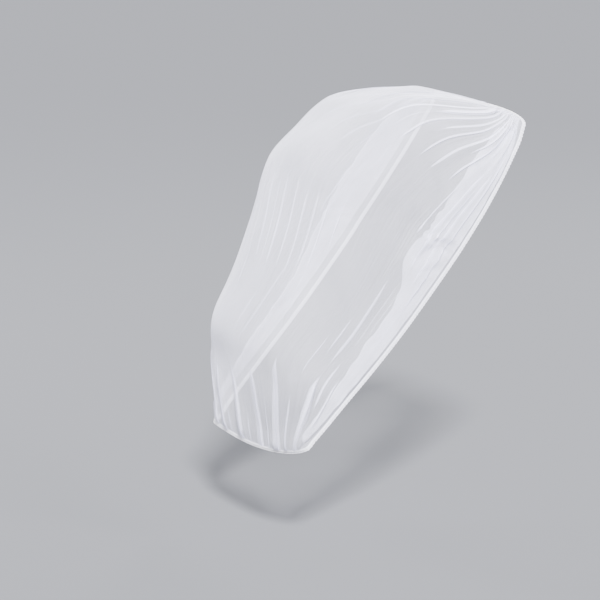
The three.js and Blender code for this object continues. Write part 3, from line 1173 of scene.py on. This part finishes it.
    def fan(self, inward: np.ndarray, along: np.ndarray, from_spine: np.ndarray) -> np.ndarray:
        """Work out the wrinkles that fan out over the side folds from where the slack is caught.

        Args:
            inward: Distances in from the nearer hem.
            along: Places on the spine, as a column.
            from_spine: Signed distances from the spine.

        Returns:
            Heights in metres.
        """
        rise = (along - self.fan_at[0]) * SPINE
        aside = self.fan_at[1] - inward
        angle = np.arctan2(aside, rise)
        away = np.hypot(aside, rise)
        strength = smoothstep(away, *self.fan_near) * (1 - smoothstep(away, *self.fan_far))
        strength = strength * smoothstep(rise, *self.fan_above)
        strength = strength * (1 - smoothstep(inward, *self.fan_inner)) * smoothstep(inward, *self.fan_hem)
        coarse, fine = (
            rays.at(angle, away) * np.minimum(away / growth, 1.0)
            for rays, growth in zip((self.fan_coarse, self.fan_fine), self.fan_growth)
        )
        return strength * (coarse + fine) * np.where(from_spine > 0, 1.0, self.far_fan)

    def bunch(self, inward: np.ndarray, along: np.ndarray, from_spine: np.ndarray) -> np.ndarray:
        """Work out the ridges that run into the bunched rear corners.

        Args:
            inward: Distances in from the nearer hem.
            along: Places on the spine, as a column.
            from_spine: Signed distances from the spine.

        Returns:
            Heights in metres.
        """
        rise = (self.bunch_at[0] - along) * SPINE
        aside = inward - self.bunch_at[1]
        angle = np.arctan2(aside, rise + self.bunch_offset)
        away = np.hypot(aside, rise)
        strength = smoothstep(away, *self.bunch_near) * (1 - smoothstep(away, *self.bunch_far))
        phase = np.where(from_spine > 0, 0.0, self.far_bunch_phase)
        return strength * self.bunch_rays.at(angle, away, phase)

    def build(self) -> bpy.types.Object:
        """Make the cloth as one open sheet with its maps Weave, in metres, and Strand.

        Returns:
            The piece.
        """
        along = np.linspace(0, 1, self.rows)
        ribs = self.shape.ribs(along)
        column = along[:, None]
        distance, crease_height, strands = self.outer_layer(ribs, column)
        free = smoothstep(column, *self.free_front) * (1 - smoothstep(column, *self.free_rear))
        outer = ribs.at(distance, crease_height * free + self.relief(distance, ribs, column))
        near_in, near_height = self.side_fold(Side.NEAR, column)
        far_in, far_height = self.side_fold(Side.FAR, column)
        near = ribs.at(ribs.length - near_in, near_height)
        far = ribs.at(far_in, far_height)[:, ::-1]
        grid = np.concatenate([far, outer, near], axis=1)
        piece = mesh_piece("net_cloth", grid, grid_faces(*grid.shape[:2]).tolist())

        ends = np.linspace(*self.fold_strands, near.shape[1])
        strand = np.concatenate([-1 - ends[::-1], strands, 1 + ends])
        middle = grid.shape[1] // 2
        across = run_length(grid, axis=1)
        across -= across[:, middle : middle + 1].copy()
        down = np.broadcast_to(run_length(grid[:, middle], axis=0)[:, None], across.shape)
        add_uv(piece, "Weave", np.stack([across, down], 2))
        add_uv(piece, "Strand", np.stack([np.broadcast_to(strand[None, :], across.shape), down], 2))
        return piece

    def dress(self, piece: bpy.types.Object) -> None:
        """Args:
            piece: The cloth.
        """
        piece.data.materials.append(SheerNetFinish().build())
        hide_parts("net")
        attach(piece, "root")
        area = sum(face.area for face in piece.data.polygons)
        log.info("net cloth: %d faces, %.2f square metres", len(piece.data.polygons), area)


@dataclass
class ElasticEdge:
    """The gathered elastic sewn round the net's edge, with its two rows of stitches.

    Each pair of ruffles gives the shares of the long gathers and of the short ones between them.
    """

    shape: DrapeShape
    width: float = 10.0 * MM
    thickness: float = 2.4 * MM
    gap: float = 0.5 * MM
    step: float = 2.0 * MM
    gather_pitch: float = 8.5 * MM
    short_gathers: float = 1.7
    drift_waves: tuple[int, ...] = (3, 7, 13, 29)
    section_steps: int = 14
    corner: float = 0.35
    edge_ruffle: Span = (0.16, 0.08)
    mean_thickness: float = 0.78
    face_ruffle: Span = (0.16, 0.06)
    edge_lift: float = 0.35 * MM
    lift_ruffle: Span = (0.6, 0.4)
    stitch_rows: Span = (0.26, 0.74)
    stitch_length: float = 3.4 * MM
    stitch_pitch: float = 5.2 * MM
    stitch_radius: float = 0.45 * MM
    stitch_lift: float = 0.15 * MM
    bead_steps: tuple[int, int] = (8, 5)
    rng: np.random.Generator = field(default_factory=lambda: np.random.default_rng(SEED + 1))

    def frames(self) -> tuple[np.ndarray, np.ndarray, np.ndarray]:
        """Work out how the band lies.

        Returns:
            Edge points with the directions out of the cloth's edge and off its face.
        """
        points, normal = self.shape.hem_loop(self.step)
        run = unit(np.roll(points, -1, axis=0) - np.roll(points, 1, axis=0))
        outward = unit(np.cross(run, normal))
        return points, outward, np.cross(outward, run)

    def build(self) -> bpy.types.Object:
        """Make the band as a closed tube of soft rectangular section, ruffled by its gathers.

        Returns:
            The piece, with its map Weave in metres.
        """
        points, outward, up = self.frames()
        count, n = len(points), self.section_steps
        place = np.arange(count) * self.step
        length = count * self.step
        beats = round(length / self.gather_pitch)
        drift = np.zeros(count)
        for k in self.drift_waves:
            drift += self.rng.uniform(0.3, 1.0) * np.sin(math.tau * k * place / length + self.rng.uniform(0, 6))
        long = np.sin(math.tau * beats * place / length + drift)
        short = np.sin(math.tau * round(beats * self.short_gathers) * place / length + 2 * drift)
        edge, face, lift = (
            (pair[0] * long + pair[1] * short)[:, None]
            for pair in (self.edge_ruffle, self.face_ruffle, self.lift_ruffle)
        )
        angle = np.linspace(0, math.tau, n, endpoint=False)
        out, rise = (np.sign(c) * np.abs(c) ** self.corner for c in (np.cos(angle), np.sin(angle)))
        swell = 1 + edge * np.maximum(out, 0)
        across = self.gap + self.width / 2 + self.width / 2 * out * swell
        off = self.thickness / 2 * rise * (self.mean_thickness + face) + self.edge_lift * lift * (1 + out) / 2
        grid = points[:, None] + outward[:, None] * across[..., None] + up[:, None] * off[..., None]
        faces = []
        for i in range(count):
            j = (i + 1) % count
            faces += [[i * n + k, j * n + k, j * n + (k + 1) % n, i * n + (k + 1) % n] for k in range(n)]
        piece = mesh_piece("elastic_band", grid, faces)
        girth = np.arange(n) / n * 2 * (self.width + self.thickness)
        add_uv(piece, "Weave", np.stack(np.broadcast_arrays(place[:, None], girth[None, :]), 2))
        return piece

    def stitches(self, thread: bpy.types.Material) -> bpy.types.Object:
        """Sew the rows of stitches with Geometry Nodes.

        Args:
            thread: The thread's finish.

        Returns:
            The realised stitches, as one mesh.
        """
        points, outward, up = self.frames()
        curve = bpy.data.curves.new("stitch_rows", "CURVE")
        curve.dimensions = "3D"
        for inset in self.stitch_rows:
            off = up * (self.thickness / 2 + self.stitch_lift)
            row = points + outward * (self.gap + self.width * inset) + off
            spline = curve.splines.new("POLY")
            spline.points.add(len(row) - 1)
            spline.points.foreach_set("co", np.hstack([row, np.ones((len(row), 1))]).ravel())
            spline.use_cyclic_u = True
        rail = bpy.data.objects.new("stitch_rail", curve)
        bpy.context.scene.collection.objects.link(rail)
        tree = self.stitch_tree(thread)
        modifier = rail.modifiers.new("sew", "NODES")
        modifier.node_group = tree
        sizes = {"Pitch": self.stitch_pitch, "Length": self.stitch_length, "Radius": self.stitch_radius}
        for item in tree.interface.items_tree:
            if item.in_out == "INPUT" and item.name in sizes:
                modifier[item.identifier] = sizes[item.name]
        sewn = rail.evaluated_get(bpy.context.evaluated_depsgraph_get())
        mesh = bpy.data.meshes.new_from_object(sewn)
        rail.modifiers.remove(modifier)
        bpy.data.objects.remove(rail)
        piece = bpy.data.objects.new("elastic_stitches", mesh)
        bpy.context.scene.collection.objects.link(piece)
        mesh.shade_smooth()
        return piece

    def stitch_tree(self, thread: bpy.types.Material) -> bpy.types.GeometryNodeTree:
        """Build the node tree that lays one stitch at each pitch along a curve.

        Args:
            thread: The thread's finish.

        Returns:
            The tree, with inputs Pitch, Length and Radius.
        """
        tree = bpy.data.node_groups.new("sew_stitches", "GeometryNodeTree")
        tree.interface.new_socket("Geometry", in_out="INPUT", socket_type="NodeSocketGeometry")
        for name in ("Pitch", "Length", "Radius"):
            tree.interface.new_socket(name, in_out="INPUT", socket_type="NodeSocketFloat")
        tree.interface.new_socket("Geometry", in_out="OUTPUT", socket_type="NodeSocketGeometry")
        add, link = tree.nodes.new, tree.links.new
        start, end = add("NodeGroupInput"), add("NodeGroupOutput")
        points = add("GeometryNodeCurveToPoints")
        points.mode = "LENGTH"
        bead = add("GeometryNodeMeshUVSphere")
        for name, value in zip(("Segments", "Rings", "Radius"), (*self.bead_steps, 1.0)):
            bead.inputs[name].default_value = value
        halve = add("ShaderNodeMath")
        halve.operation = "MULTIPLY"
        halve.inputs[1].default_value = 0.5
        size = add("ShaderNodeCombineXYZ")
        place = add("GeometryNodeInstanceOnPoints")
        real, dye = add("GeometryNodeRealizeInstances"), add("GeometryNodeSetMaterial")
        dye.inputs["Material"].default_value = thread
        for out, into in (
            (start.outputs["Geometry"], points.inputs["Curve"]),
            (start.outputs["Pitch"], points.inputs["Length"]),
            (start.outputs["Length"], halve.inputs[0]),
            (start.outputs["Radius"], size.inputs["X"]),
            (start.outputs["Radius"], size.inputs["Y"]),
            (halve.outputs[0], size.inputs["Z"]),
            (points.outputs["Points"], place.inputs["Points"]),
            (points.outputs["Rotation"], place.inputs["Rotation"]),
            (bead.outputs["Mesh"], place.inputs["Instance"]),
            (size.outputs["Vector"], place.inputs["Scale"]),
            (place.outputs["Instances"], real.inputs["Geometry"]),
            (real.outputs["Geometry"], dye.inputs["Geometry"]),
            (dye.outputs["Geometry"], end.inputs["Geometry"]),
        ):
            link(out, into)
        return tree

    def dress(self, band: bpy.types.Object, thread: bpy.types.Material) -> None:
        """Give the band its finish, sew it and declare both.

        Args:
            band: The band.
            thread: The thread's finish.
        """
        # The ribbed finish paints shade into the grooves between the elastic's ribs
        band.data.materials.append(RibbedTapeFinish("gathered_elastic", cover=0.8).build())
        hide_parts("elastic_edge")
        sewn = self.stitches(thread)
        for piece in (band, sewn):
            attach(piece, "root")
        log.info("elastic band: %d faces; stitches: %d faces", len(band.data.polygons), len(sewn.data.polygons))


@dataclass
class SewnLabel:
    """The small blank label inside the rear hem: woven tape, a little curled, sewn along its edge."""

    node: str = "label"
    steps: tuple[int, int] = (28, 18)
    curl: float = 0.8 * MM
    sunk: float = 0.3 * MM
    slope: float = 0.8
    loose_ease: float = 1.5

    def corners(self) -> list[np.ndarray]:
        """Find the corners of the label's middle plane in the box of its solid.

        Returns:
            Four corners, from the front left, anticlockwise from above.
        """
        low, high = (np.array(p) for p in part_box(self.node))
        (left, front, bottom), (right, rear, top) = low, high
        high_edge, low_edge = top - self.sunk, top - (top - bottom) * self.slope
        fore = [np.array((x, front, high_edge)) for x in (left, right)]
        return fore + [np.array((x, rear, low_edge)) for x in (right, left)]

    def build(self) -> bpy.types.Object:
        """Make the label, curled where it isn't sewn.

        Returns:
            The piece, with its map Weave in metres.
        """
        a, b, c, d = self.corners()
        u, v = np.meshgrid(np.linspace(0, 1, self.steps[0]), np.linspace(0, 1, self.steps[1]))
        shares = ((1 - u) * (1 - v), u * (1 - v), u * v, (1 - u) * v)
        flat = sum(corner * share[..., None] for corner, share in zip((a, b, c, d), shares))
        loose = (1 - v) ** self.loose_ease
        wave = np.sin(math.pi * u) * 0.5 + 0.25 * np.sin(math.tau * (u * 1.3 + v * 0.4))
        off = unit(np.cross(b - a, d - a))
        grid = flat - off * (self.curl * (wave * loose + 0.4 * loose))[..., None]
        piece = mesh_piece("label_tape", grid, grid_faces(*grid.shape[:2]).tolist())
        add_uv(piece, "Weave", np.stack([u * np.linalg.norm(b - a), v * np.linalg.norm(d - a)], 2))
        return piece

    def dress(self, piece: bpy.types.Object) -> None:
        """Args:
            piece: The label.
        """
        # Finer ribs, with the same painted shade in their grooves
        finish = RibbedTapeFinish("label_satin", ribs=(2600.0, 2000.0, 1.0), relief=0.25, roughness=0.4)
        piece.data.materials.append(finish.build())
        low, high = (np.array(p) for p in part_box(self.node))
        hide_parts(self.node)
        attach(piece, "root")
        log.info("label: %d faces", len(piece.data.polygons))


# The studio


@dataclass(frozen=True)
class SoftLamp:
    """A round area lamp: name, place, width in metres and power in watts."""

    name: str
    place: Scale
    width: float
    power: float


@dataclass
class Studio:
    """Plain pale floor, soft light and the camera at the photo's angle; the camera looks at aim."""

    floor_z: float = -1.025
    floor_half: float = 45.0
    azimuth: float = 59.63
    elevation: float = 13.16
    distance: float = 5.361
    aim: Scale = (0.0, 0.1044 - 0.365, 0.55 - 1.025)
    focal_pixels: float = 2294.5
    frame_pixels: float = 600.0
    sensor: float = 36.0
    clip_end: float = 200.0
    sky: Colour = (0.93, 0.94, 0.97, 1.0)
    sky_strength: float = 0.75
    key_place: Scale = (3.2, -1.7, 3.0)
    key_strength: float = 25.0
    key_angle: float = 9.0
    lamps: tuple[SoftLamp, ...] = (
        SoftLamp("soft_left", (-3.2, -2.8, 1.2), 1.0, 190.0),
        SoftLamp("soft_right", (3.6, 2.0, 1.8), 1.0, 200.0),
        SoftLamp("soft_back", (-2.6, 3.0, 2.4), 1.2, 130.0),
    )

    def floor(self) -> None:
        """Lay the floor."""
        h, z = self.floor_half, self.floor_z
        points = np.array([(-h, -h, z), (h, -h, z), (h, h, z), (-h, h, z)])
        piece = mesh_piece("studio_floor", points, [[0, 1, 2, 3]], smooth=False)
        piece.data.materials.append(StudioFloorFinish().build())

    def camera(self) -> None:
        """Set the camera where the photo was taken from."""
        azimuth, elevation = math.radians(self.azimuth), math.radians(self.elevation)
        flat = math.cos(elevation)
        back = Vector((math.sin(azimuth) * flat, -math.cos(azimuth) * flat, math.sin(elevation)))
        data = bpy.data.cameras.new("camera")
        data.sensor_fit = "HORIZONTAL"
        data.sensor_width = self.sensor
        data.lens = self.focal_pixels / self.frame_pixels * self.sensor
        data.clip_end = self.clip_end
        place = Vector(self.aim) + back * self.distance
        bpy.context.scene.camera = self.aimed("camera", data, place)

    def lights(self) -> None:
        """Hang the soft lights."""
        world = bpy.data.worlds.new("studio")
        world.use_nodes = True
        background = world.node_tree.nodes["Background"]
        background.inputs["Color"].default_value = self.sky
        background.inputs["Strength"].default_value = self.sky_strength
        bpy.context.scene.world = world
        sun = bpy.data.lights.new("key", "SUN")
        sun.energy, sun.angle = self.key_strength, math.radians(self.key_angle)
        self.aimed("key", sun, self.key_place)
        for lamp in self.lamps:
            light = bpy.data.lights.new(lamp.name, "AREA")
            light.shape, light.size, light.energy = "DISK", lamp.width, lamp.power
            self.aimed(lamp.name, light, lamp.place)

    def aimed(self, name: str, data: bpy.types.ID, place: Scale) -> bpy.types.Object:
        """Put a light or the camera at a place, turned towards the middle of the net.

        Args:
            name: Name of the object.
            data: The light or the camera.
            place: Where it goes, in metres.

        Returns:
            The object, linked to the scene.
        """
        thing = bpy.data.objects.new(name, data)
        thing.location = place
        thing.rotation_euler = (Vector(self.aim) - Vector(place)).to_track_quat("-Z", "Y").to_euler()
        bpy.context.scene.collection.objects.link(thing)
        return thing


def write_sizes() -> None:
    """Update the view layer."""
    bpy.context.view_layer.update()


def main() -> None:
    """Build the studio and each piece, in order."""
    logging.basicConfig(level=logging.INFO, format="%(name)s: %(message)s")
    studio = Studio()
    studio.camera()
    studio.floor()
    studio.lights()
    shape = DrapeShape()
    thread = SewingThreadFinish().build()
    cloth = NetCloth(shape)
    cloth.dress(cloth.build())
    edge = ElasticEdge(shape)
    edge.dress(edge.build(), thread)
    label = SewnLabel()
    label.dress(label.build())
    write_sizes()


if __name__ == "__main__":
    main()
